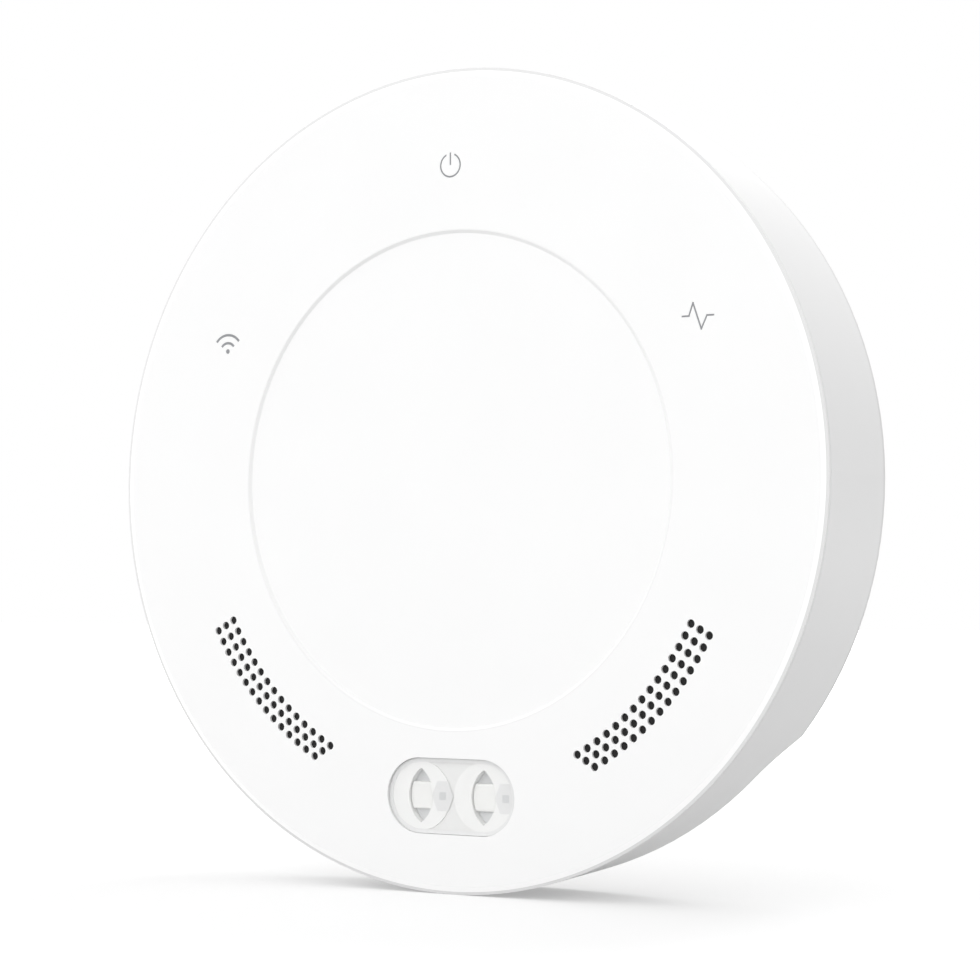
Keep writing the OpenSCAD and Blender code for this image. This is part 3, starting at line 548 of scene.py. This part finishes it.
# %% Finish of the inside
finish(["lamp_board"], white_mask, 0.1)
finish(["main_board", "radio_board"], green_mask, 0.1)
finish(["lamp_connector", "board_connector"], cream_nylon, 0.2)
finish(["lamp_ribbon"], amber_film)
finish(["indicator_leds"], phosphor, 0.1)
finish(["board_screws"], zinc_steel, 0.15)
finish(["sounder_case"], black_epoxy, 0.3)
finish(["sounder_disc"], brass)
finish(["processor", "memory_chip", "regulator", "reset_switch"], black_epoxy, 0.1)
finish(["inductor"], black_epoxy, 0.6)
finish(["radio_shield"], bright_sheet, 0.3)
finish(["relay_1", "relay_2", "relay_3"], blue_pbt, 0.4)
finish(["capacitors"], aluminium, 0.5)
print("inside finished")

# %% [markdown]
# ## Lamp window
# The real window is moulded in two shots: a clear plate, and behind its border a white frame with a
# flange that holds it in the cover. A thin lip of the frame hides the gap round the lamp cups. The CAD
# solid is in one piece and can't show the two plastics, so a modelled window of the same outline takes
# its place. It is lofted: rings of points, here ovals with straight upper and lower sides, are joined by
# faces.


# %% Lofted pieces
def add_loft(mesh, rings, slot, smooth=False, closed=False):
    """A solid through rings with equal numbers of points, capped at its ends or closed to a ring."""
    loops = [[mesh.verts.new(point) for point in ring] for ring in rings]
    faces = [] if closed else [mesh.faces.new(loops[0]), mesh.faces.new(loops[-1])]
    for lower, upper in zip(loops, loops[1:] + loops[:1] if closed else loops[1:]):
        for k in range(len(lower)):
            j = (k + 1) % len(lower)
            faces.append(mesh.faces.new((lower[k], lower[j], upper[j], upper[k])))
    for face in faces:
        face.material_index = slot
        face.smooth = smooth and len(face.verts) == 4


def add_piece(mesh, name, materials):
    """Turns a bmesh into a piece that rides on the case."""
    bmesh.ops.recalc_face_normals(mesh, faces=mesh.faces)
    data = bpy.data.meshes.new(name)
    mesh.to_mesh(data)
    mesh.free()
    for material in materials:
        data.materials.append(material)
    piece = bpy.data.objects.new(name, data)
    bpy.context.collection.objects.link(piece)
    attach(piece, "case")
    print(f"{name}: {len(data.polygons)} faces")
    return piece


# %% Lamp window
PLATE_THICK = 0.6 * MM
PLATE_EDGE = 0.1 * MM
PLATE_GAP = 0.01 * MM
PLATE_GROWTH = 0.05 * MM
FLANGE_WIDTH = 1.47 * MM
FLANGE_THICK = 0.8 * MM
FRAME_WALL = 0.45 * MM
LIP_WIDTH = 0.28 * MM
LIP_THICK = 0.07 * MM
OVAL_STEPS = 32

window_low, window_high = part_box("lens_window")
window_middle = (window_low + window_high) / 2


def oval_ring(inset, depth):
    """An oval inside the flange's outline, at a depth from the front."""
    radius = (window_high.z - window_low.z) / 2 - inset
    straight = (window_high.x - window_low.x) / 2 - inset - radius
    points = []
    for side in (1, -1):
        for k in range(OVAL_STEPS + 1):
            a = math.pi * (k / OVAL_STEPS - 0.5)
            x = window_middle.x + side * (straight + radius * math.cos(a))
            z = window_middle.z + side * radius * math.sin(a)
            points.append((x, window_low.y + depth, z))
    return points


inner = FLANGE_WIDTH + FRAME_WALL
lip = inner + LIP_WIDTH
front = PLATE_THICK + PLATE_GAP
back = window_high.y - window_low.y
outer = FLANGE_WIDTH - PLATE_GROWTH
plate = [(outer + PLATE_EDGE, 0.0), (outer, PLATE_EDGE), (outer, PLATE_THICK)]
frame_rings = [(FLANGE_WIDTH, front), (lip, front), (lip, front + LIP_THICK), (inner, front + LIP_THICK),
               (inner, back), (0.0, back), (0.0, back - FLANGE_THICK), (FLANGE_WIDTH, back - FLANGE_THICK)]
mesh = bmesh.new()
add_loft(mesh, [oval_ring(*ring) for ring in plate], 0)
add_loft(mesh, [oval_ring(*ring) for ring in frame_rings], 1, closed=True)
window = add_piece(mesh, "lamp_window", (acrylic, frame_abs))
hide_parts("lens_window")

# %% [markdown]
# ## Lamp LEDs
# Each cup has a recess in its front, with the outline where two circles cross. Its middle is filled by
# the milky head of a white LED, which stands on the lamp board behind it. The CAD solid is a plain block,
# a rod and a round tip, so a modelled piece takes its place: a ceramic base with cut corners, a stem, and
# a head that follows the recess at its sides.


# %% Lamp LEDs
RECESS_WIDTH = 5.2 * MM
RECESS_HEIGHT = 10.0 * MM
RECESS_DEPTH = 1.5 * MM
RECESS_BOW = (RECESS_WIDTH ** 2 + RECESS_HEIGHT ** 2) / (4 * RECESS_WIDTH)
SHADE_SHEET_THICK = 0.1 * MM
BASE_HEIGHT = 1.0 * MM
BASE_CUT = 0.6
STEM_RADIUS = 2.2 * MM
HEAD_HALF = 2.5 * MM
HEAD_GAP = 0.08 * MM
HEAD_ROUND = 0.35 * MM
HEAD_STEPS = 8
ROUND_STEPS = 4
TURN_STEPS = 40


def base_ring(middle, half, depth):
    cut = BASE_CUT * half
    corners = [(half, cut), (cut, half), (-cut, half), (-half, cut),
               (-half, -cut), (-cut, -half), (cut, -half), (half, -cut)]
    return [(middle.x + x, depth, middle.z + z) for x, z in corners]


def round_ring(middle, radius, depth):
    turn = [math.tau * k / TURN_STEPS for k in range(TURN_STEPS)]
    return [(middle.x + radius * math.cos(a), depth, middle.z + radius * math.sin(a)) for a in turn]


def head_ring(middle, inset, depth):
    """Outline of the head, which follows the sides of the recess and is flat above and below."""
    tall = HEAD_HALF - inset
    heights = [tall * (2 * k / HEAD_STEPS - 1) for k in range(HEAD_STEPS + 1)]
    reach = RECESS_WIDTH / 2 - RECESS_BOW - HEAD_GAP - inset
    right = [(math.sqrt(RECESS_BOW ** 2 - z ** 2) + reach, z) for z in heights]
    left = [(-x, z) for x, z in reversed(right)]
    return [(middle.x + x, depth, middle.z + z) for x, z in right + left]


def lamp_emitter(side):
    low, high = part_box(f"lamp_led_{side}")
    middle = (low + high) / 2
    base = high.y - BASE_HEIGHT
    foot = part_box(f"lamp_cup_{side}")[0].y + RECESS_DEPTH - SHADE_SHEET_THICK
    half = (high.x - low.x) / 2
    mesh = bmesh.new()
    add_loft(mesh, [base_ring(middle, half, high.y), base_ring(middle, half, base)], 0)
    stem = [round_ring(middle, STEM_RADIUS, depth) for depth in (base, foot)]
    add_loft(mesh, stem, 1, smooth=True)
    lifts = [math.pi / 2 * k / ROUND_STEPS for k in range(ROUND_STEPS + 1)]
    rounded = [head_ring(middle, HEAD_ROUND * (1 - math.cos(a)), low.y + HEAD_ROUND * (1 - math.sin(a)))
               for a in lifts]
    add_loft(mesh, [head_ring(middle, 0.0, foot)] + rounded, 1)
    piece = add_piece(mesh, f"lamp_emitter_{side}", (ceramic, milky_epoxy))
    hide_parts(f"lamp_led_{side}")


for side in ("left", "right"):
    lamp_emitter(side)

# %% [markdown]
# ## Painted shade in the recesses
# Above and below the head, the floor of the recess is painted grey beside the milky ring, as painted shade.
# A thin grey sheet lies there, cut to the outline of the recess, with a round hole for the LED's stem.


# %% Painted shade sheets in the recesses
SHADE_SHEET_GAP = 0.05 * MM
SHADE_SHEET_HOLE = STEM_RADIUS + 0.02 * MM
SHADE_SHEET_STEPS = 72


def recess_reach(angle):
    """Distance from the middle of the recess to its outline, less a gap, at an angle from the x axis."""
    offset = RECESS_BOW - RECESS_WIDTH / 2
    shift = offset * abs(math.cos(angle))
    return math.sqrt(shift ** 2 + RECESS_BOW ** 2 - offset ** 2) - shift - SHADE_SHEET_GAP


# A thin sheet of painted shade on the floor of the recess.
def recess_shade_sheet(side):
    low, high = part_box(f"lamp_cup_{side}")
    middle = (low + high) / 2
    back = low.y + RECESS_DEPTH
    turn = [math.tau * k / SHADE_SHEET_STEPS for k in range(SHADE_SHEET_STEPS)]
    outline = [(a, recess_reach(a)) for a in turn]
    hole = [(a, SHADE_SHEET_HOLE) for a in turn]
    loops = ((outline, back), (hole, back), (hole, back - SHADE_SHEET_THICK), (outline, back - SHADE_SHEET_THICK))
    rings = [[(middle.x + r * math.cos(a), depth, middle.z + r * math.sin(a)) for a, r in ring]
             for ring, depth in loops]
    mesh = bmesh.new()
    add_loft(mesh, rings, 0, closed=True)
    add_piece(mesh, f"recess_shade_sheet_{side}", (recess_shade_grey,))


for side in ("left", "right"):
    recess_shade_sheet(side)

# %% [markdown]
# ## Filling and sensors between the cups
# Through the window, the space between the two rings is filled with a satin plate, and on the right of
# each ring lies a faint six-sided shape with a small square. It looks like a light sensor in a flat clear
# package, which would tell the lamps how dark the garage is. The plate is waisted to follow both rings.
# The sensors are plates too, thin enough to lie between the cups and the window, and the right one ends
# at the frame.


# %% Filling and sensors
FILL_GAP = 0.05 * MM
FILL_SINK = 0.12 * MM
FILL_STEPS = 12
SENSOR_HALF = 2.3 * MM
SENSOR_TALL = 2.7 * MM
SENSOR_OFFSET = 4.7 * MM
SENSOR_THICK = 0.04 * MM
SENSOR_LIFT = 0.01 * MM
DIE_HALF = 0.7 * MM
DIE_THICK = 0.02 * MM


def flat_plate(mesh, outline, front, back, slot):
    add_loft(mesh, [[(x, depth, z) for x, z in outline] for depth in (back, front)], slot)


def lamp_filling():
    left_low, left_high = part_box("lamp_cup_left")
    right_low, right_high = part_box("lamp_cup_right")
    radius = (left_high.z - left_low.z) / 2 + FILL_GAP
    tall = (window_high.z - window_low.z) / 2 - inner - FILL_GAP
    heights = [min(tall, radius) * (2 * k / FILL_STEPS - 1) for k in range(FILL_STEPS + 1)]
    bulge = [math.sqrt(max(radius ** 2 - z ** 2, 0.0)) for z in heights]
    left_axis = (left_low.x + left_high.x) / 2
    right_axis = (right_low.x + right_high.x) / 2
    outline = [(left_axis + b, window_middle.z + z) for b, z in zip(bulge, heights)]
    outline += [(right_axis - b, window_middle.z + z) for b, z in reversed(list(zip(bulge, heights)))]
    mesh = bmesh.new()
    flat_plate(mesh, outline, left_low.y + FILL_SINK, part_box("lamp_spacer")[0].y, 0)
    add_piece(mesh, "lamp_filling", (satin_acrylic,))


def lamp_sensor(side):
    cup_low, cup_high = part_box(f"lamp_cup_{side}")
    axis = (cup_low + cup_high) / 2
    back = cup_low.y - SENSOR_LIFT
    front = back - SENSOR_THICK
    limit = window_high.x - lip - FILL_GAP - axis.x
    corners = [(-0.5, 1.0), (0.5, 1.0), (1.0, 0.0), (0.5, -1.0), (-0.5, -1.0), (-1.0, 0.0)]
    shape = [(min(SENSOR_OFFSET + x * SENSOR_HALF, limit), z * SENSOR_TALL) for x, z in corners]
    die = [(SENSOR_OFFSET + x * DIE_HALF, z * DIE_HALF) for x, z in ((-1, -1), (1, -1), (1, 1), (-1, 1))]
    mesh = bmesh.new()
    flat_plate(mesh, [(axis.x + x, axis.z + z) for x, z in shape], front, back, 0)
    flat_plate(mesh, [(axis.x + x, axis.z + z) for x, z in die], front - DIE_THICK, front, 1)
    add_piece(mesh, f"lamp_sensor_{side}", (sensor_epoxy, sensor_die))


lamp_filling()
for side in ("left", "right"):
    lamp_sensor(side)

# %% [markdown]
# ## Small parts that repeat
# Chip leads, chip parts and contact fingers come in rows, so Geometry Nodes grow them. Each tree is drawn
# lying down, with z towards the front, and its last step stands it up and moves it to its place on the
# CAD part. Its sizes are named inputs, which the modifier finds by the sockets' identifiers. The result
# becomes a plain mesh, which rides on the case.


# %% Helpers for grown parts
STAND = (math.pi / 2, 0.0, 0.0)
SOCKETS = {int: "NodeSocketInt", float: "NodeSocketFloat", tuple: "NodeSocketVector"}


def open_tree(name, sizes):
    """A Geometry Nodes tree with a named input for each size; returns it with its inputs by name."""
    tree = bpy.data.node_groups.new(name, "GeometryNodeTree")
    tree.interface.new_socket("Geometry", in_out="OUTPUT", socket_type="NodeSocketGeometry")
    for label, value in sizes.items():
        tree.interface.new_socket(label, in_out="INPUT", socket_type=SOCKETS[type(value)])
    source = add_node(tree, "NodeGroupInput")
    return tree, {label: source.outputs[label] for label in sizes}


def close_tree(tree, geometry, place, material):
    """Stands the geometry up at its place, makes it real and gives it a material."""
    stood = add_node(tree, "GeometryNodeTransform", None,
                     {"Geometry": geometry, "Translation": place, "Rotation": STAND})
    real = add_node(tree, "GeometryNodeRealizeInstances", None, {"Geometry": stood.outputs[0]})
    dressed = add_node(tree, "GeometryNodeSetMaterial", None,
                       {"Geometry": real.outputs[0], "Material": material})
    add_node(tree, "NodeGroupOutput", None, {0: dressed.outputs[0]})


def grow(name, tree, sizes):
    """Runs a tree with these sizes and keeps the result as a plain mesh on the case."""
    piece = bpy.data.objects.new(name, bpy.data.meshes.new(name + "_start"))
    bpy.context.collection.objects.link(piece)
    modifier = piece.modifiers.new("grow", "NODES")
    modifier.node_group = tree
    for socket in tree.interface.items_tree:
        if socket.in_out == "INPUT":
            modifier[socket.identifier] = sizes[socket.name]
    grown = piece.evaluated_get(bpy.context.evaluated_depsgraph_get())
    mesh = bpy.data.meshes.new_from_object(grown)
    piece.modifiers.remove(modifier)
    piece.data = mesh
    mesh.name = name
    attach(piece, "case")
    print(f"{name}: {len(mesh.polygons)} faces")


print("trees stand up by", STAND[0], "radians")

# %% [markdown]
# ### Chip leads
# A chip's lead is a flat strip that leaves the body, bends down in an S and lies on the board. One Bezier
# segment gives the S, and a rectangle swept along it gives the strip. A line of points puts it along each
# side.


# %% Chip leads
LEAD_SHARE = 0.45
LEAD_THICK = 0.15 * MM
LEAD_REACH = 1.1 * MM
LEAD_RISE = 0.6 * MM
LEAD_LIFT = 0.08 * MM
BEND_STEPS = 6


def lead_tree(name, sides, sizes):
    tree, size = open_tree(name, sizes)
    bend = add_node(tree, "ShaderNodeMath", {"operation": "MULTIPLY"}, {0: size["Reach"], 1: 0.5})
    points = [(0.0, "Rise"), (bend.outputs[0], "Rise"), (bend.outputs[0], None), (size["Reach"], None)]
    spots = []
    for x, rise in points:
        inputs = {"X": x}
        if rise:
            inputs["Z"] = size[rise]
        spots.append(add_node(tree, "ShaderNodeCombineXYZ", None, inputs).outputs[0])
    curve = add_node(tree, "GeometryNodeCurvePrimitiveBezierSegment", None,
                     {"Resolution": BEND_STEPS, "Start": spots[0], "Start Handle": spots[1],
                      "End Handle": spots[2], "End": spots[3]})
    section = add_node(tree, "GeometryNodeCurvePrimitiveQuadrilateral", None,
                       {"Width": size["Thickness"], "Height": size["Width"]})
    lead = add_node(tree, "GeometryNodeCurveToMesh", None,
                    {"Curve": curve.outputs[0], "Profile Curve": section.outputs[0], "Fill Caps": True})
    last = add_node(tree, "ShaderNodeMath", {"operation": "SUBTRACT"}, {0: size["Leads"], 1: 1.0})
    length = add_node(tree, "ShaderNodeMath", {"operation": "MULTIPLY"},
                      {0: last.outputs[0], 1: size["Pitch"]})
    begin = add_node(tree, "ShaderNodeMath", {"operation": "MULTIPLY"}, {0: length.outputs[0], 1: -0.5})
    step = add_node(tree, "ShaderNodeCombineXYZ", None, {"Y": size["Pitch"]})
    joined = add_node(tree, "GeometryNodeJoinGeometry")
    for angle in sides:
        across = size["Half width"] if angle % 180 == 0 else size["Half length"]
        start = add_node(tree, "ShaderNodeCombineXYZ", None, {"X": across, "Y": begin.outputs[0]})
        row = add_node(tree, "GeometryNodeMeshLine", {"mode": "OFFSET"},
                       {"Count": size["Leads"], "Start Location": start.outputs[0],
                        "Offset": step.outputs[0]})
        copies = add_node(tree, "GeometryNodeInstanceOnPoints", None,
                          {"Points": row.outputs[0], "Instance": lead.outputs[0]})
        turned = add_node(tree, "GeometryNodeTransform", None,
                          {"Geometry": copies.outputs[0], "Rotation": (0.0, 0.0, math.radians(angle))})
        tree.links.new(turned.outputs[0], joined.inputs[0])
    close_tree(tree, joined.outputs[0], size["Place"], tin)
    return tree


def grow_leads(chip, sides, count, pitch_mm):
    low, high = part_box(chip)
    middle = (low + high) / 2
    sizes = {"Leads": count, "Pitch": pitch_mm * MM, "Width": LEAD_SHARE * pitch_mm * MM,
             "Thickness": LEAD_THICK, "Reach": LEAD_REACH, "Rise": LEAD_RISE,
             "Half width": (high.x - low.x) / 2, "Half length": (high.z - low.z) / 2,
             "Place": (middle.x, high.y - LEAD_LIFT, middle.z)}
    grow(chip + "_leads", lead_tree(chip + "_leads", sides, sizes), sizes)


grow_leads("processor", (0, 90, 180, 270), 16, 0.8)
grow_leads("memory_chip", (0, 180), 7, 1.27)

# %% [markdown]
# ### Chip parts
# Resistors and capacitors are tiny blocks with tinned ends, set out on a grid near the processor. A fixed
# seed leaves a few places empty, as on a real board. Bodies and ends are grown as two pieces, because
# they differ in material.


# %% Chip parts
CHIP_LENGTH = 2.0 * MM
CHIP_WIDTH = 1.25 * MM
CHIP_HEIGHT = 0.6 * MM
END_LENGTH = 0.4 * MM
END_GROWTH = 0.04 * MM


def chip_part_tree(name, boxes, material, sizes):
    tree, size = open_tree(name, sizes)
    grid = add_node(tree, "GeometryNodeMeshGrid", None,
                    {"Size X": size["Area width"], "Size Y": size["Area length"],
                     "Vertices X": size["Columns"], "Vertices Y": size["Rows"]})
    drop = add_node(tree, "FunctionNodeRandomValue", {"data_type": "BOOLEAN"},
                    {"Probability": size["Empty share"], "Seed": size["Seed"]})
    empty = [s for s in drop.outputs if s.enabled][0]
    kept = add_node(tree, "GeometryNodeDeleteGeometry", None,
                    {"Geometry": grid.outputs[0], "Selection": empty})
    part = add_node(tree, "GeometryNodeJoinGeometry")
    for dims, at in boxes:
        block = add_node(tree, "GeometryNodeMeshCube", None, {"Size": dims})
        moved = add_node(tree, "GeometryNodeTransform", None,
                         {"Geometry": block.outputs[0], "Translation": at})
        tree.links.new(moved.outputs[0], part.inputs[0])
    copies = add_node(tree, "GeometryNodeInstanceOnPoints", None,
                      {"Points": kept.outputs[0], "Instance": part.outputs[0]})
    close_tree(tree, copies.outputs[0], size["Place"], material)
    return tree


board_low, board_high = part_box("main_board")
chip_low, chip_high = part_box("processor")
AREA_WIDTH = 24.0 * MM
AREA_LENGTH = 10.0 * MM
AREA_GAP = 6.0 * MM
area = {"Area width": AREA_WIDTH, "Area length": AREA_LENGTH, "Columns": 8, "Rows": 4, "Empty share": 0.2,
        "Seed": 7,
        "Place": ((chip_low.x + chip_high.x) / 2, board_low.y, chip_high.z + AREA_GAP + AREA_LENGTH / 2)}
body_length = CHIP_LENGTH - 2 * END_LENGTH
end_at = (CHIP_LENGTH - END_LENGTH) / 2
end_size = (END_LENGTH, CHIP_WIDTH + END_GROWTH, CHIP_HEIGHT + END_GROWTH)
end_z = end_size[2] / 2
bodies = [((body_length, CHIP_WIDTH, CHIP_HEIGHT), (0.0, 0.0, CHIP_HEIGHT / 2))]
ends = [(end_size, (-end_at, 0.0, end_z)), (end_size, (end_at, 0.0, end_z))]
grow("chip_part_bodies", chip_part_tree("chip_part_bodies", bodies, black_epoxy, area), area)
grow("chip_part_ends", chip_part_tree("chip_part_ends", ends, tin, area), area)

# %% [markdown]
# ### Contact fingers
# The power socket's tongue carries gold-plated fingers on both faces. They are seen by anyone who looks
# into the bay from below. A line of points carries a thin strip with a narrower tip, once for each face.


# %% Contact fingers
def finger_tree(name, sizes):
    tree, size = open_tree(name, sizes)
    last = add_node(tree, "ShaderNodeMath", {"operation": "SUBTRACT"}, {0: size["Fingers"], 1: 1.0})
    length = add_node(tree, "ShaderNodeMath", {"operation": "MULTIPLY"},
                      {0: last.outputs[0], 1: size["Pitch"]})
    begin = add_node(tree, "ShaderNodeMath", {"operation": "MULTIPLY"}, {0: length.outputs[0], 1: -0.5})
    step = add_node(tree, "ShaderNodeCombineXYZ", None, {"X": size["Pitch"]})
    strip = add_node(tree, "GeometryNodeMeshCube", None, {"Size": size["Strip"]})
    tip = add_node(tree, "GeometryNodeMeshCube", None, {"Size": size["Tip"]})
    tip_moved = add_node(tree, "GeometryNodeTransform", None,
                         {"Geometry": tip.outputs[0], "Translation": size["Tip place"]})
    finger = add_node(tree, "GeometryNodeJoinGeometry", None, {0: strip.outputs[0]})
    tree.links.new(tip_moved.outputs[0], finger.inputs[0])
    joined = add_node(tree, "GeometryNodeJoinGeometry")
    for face in ("Front", "Back"):
        start = add_node(tree, "ShaderNodeCombineXYZ", None, {"X": begin.outputs[0], "Z": size[face]})
        row = add_node(tree, "GeometryNodeMeshLine", {"mode": "OFFSET"},
                       {"Count": size["Fingers"], "Start Location": start.outputs[0],
                        "Offset": step.outputs[0]})
        copies = add_node(tree, "GeometryNodeInstanceOnPoints", None,
                          {"Points": row.outputs[0], "Instance": finger.outputs[0]})
        tree.links.new(copies.outputs[0], joined.inputs[0])
    close_tree(tree, joined.outputs[0], size["Place"], gold_plate)
    return tree


tongue_low, tongue_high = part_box("power_socket_tongue")
tongue = (tongue_low + tongue_high) / 2
FINGER_COUNT = 6
FINGER_PITCH = 0.9 * MM
FINGER_THICK = 0.08 * MM
FINGER_LENGTH = 3.6 * MM
FINGER_WIDTH = 0.5 * MM
TIP_LENGTH = 0.4 * MM
TIP_GAP = 0.1 * MM
tongue_half = (tongue_high.y - tongue_low.y) / 2
finger_sizes = {"Fingers": FINGER_COUNT, "Pitch": FINGER_PITCH,
                "Strip": (FINGER_WIDTH, FINGER_LENGTH, FINGER_THICK),
                "Tip": (FINGER_WIDTH / 2, TIP_LENGTH, FINGER_THICK),
                "Tip place": (0.0, -(FINGER_LENGTH + TIP_LENGTH) / 2, 0.0),
                "Front": tongue_half + FINGER_THICK / 2, "Back": -tongue_half - FINGER_THICK / 2,
                "Place": (tongue.x, tongue.y, tongue_low.z + TIP_GAP + TIP_LENGTH + FINGER_LENGTH / 2)}
grow("socket_fingers", finger_tree("socket_fingers", finger_sizes), finger_sizes)
